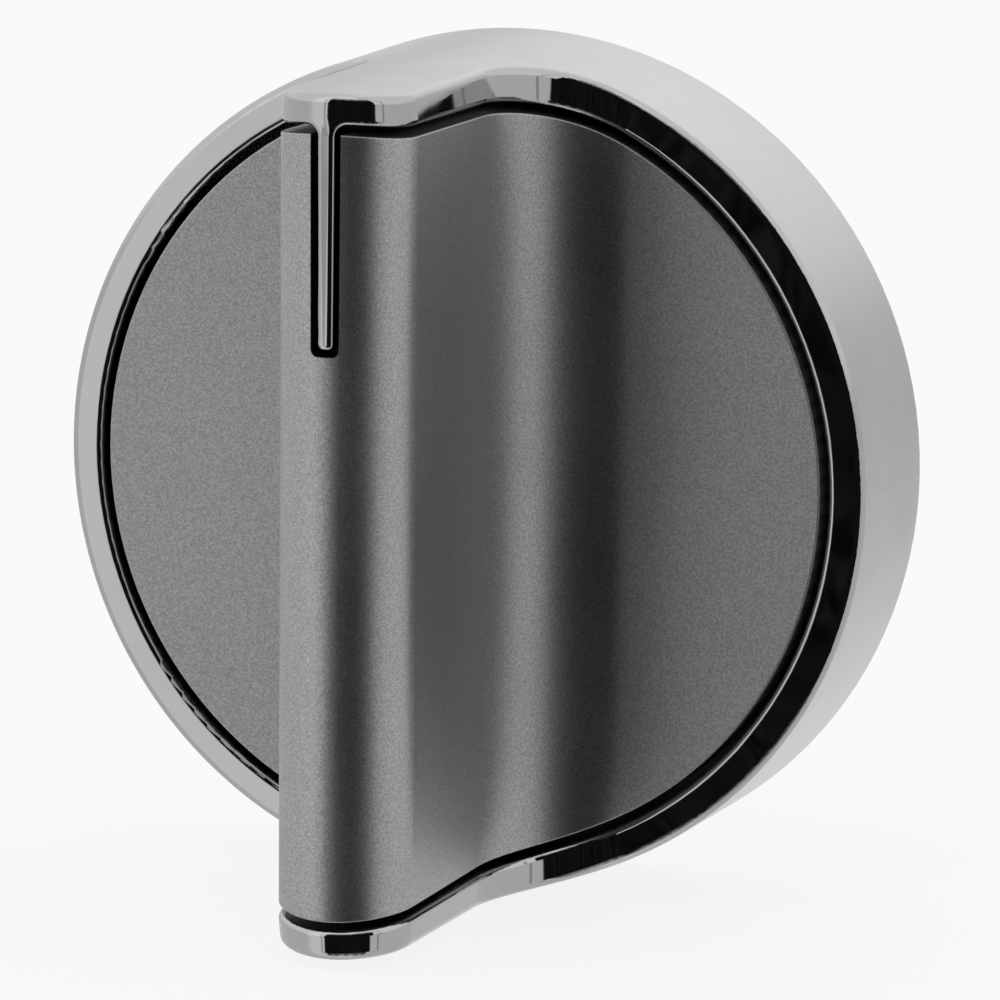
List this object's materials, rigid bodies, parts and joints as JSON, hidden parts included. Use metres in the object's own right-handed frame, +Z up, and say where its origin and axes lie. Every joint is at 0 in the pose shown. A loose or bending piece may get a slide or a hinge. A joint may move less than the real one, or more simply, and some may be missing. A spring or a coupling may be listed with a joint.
{
  "type": "stove knob",
  "caption": "Bar-grip stove knob with a plated bezel and pointer rib, a painted grip cover, and a black core with a D-shaped stem socket.",
  "frame": {"origin": "on the knob's turning axis, in the plane of the back rim, which is also the mouth of the stem socket", "axes": "+Y along the turning axis, out of the back towards the appliance, so the knob faces -Y; +Z up along the grip bar towards the pointer; +X to the right as the user sees it"},
  "size_m": [0.056, 0.0349, 0.056],
  "materials": {
    "bright_plating": "bright mirror plating",
    "metallic_grey_paint": "satin metallic grey paint with a fine flake",
    "black_moulding": "moulded matt black",
    "spring_steel": "bright rolled strip"
  },
  "bodies": {
    "root": {"chrome_bezel": "bright_plating", "grip_cover": "metallic_grey_paint", "hub_core": "black_moulding", "hub_ring": "spring_steel", "stem_spring": "spring_steel"}
  },
  "joints": []
}
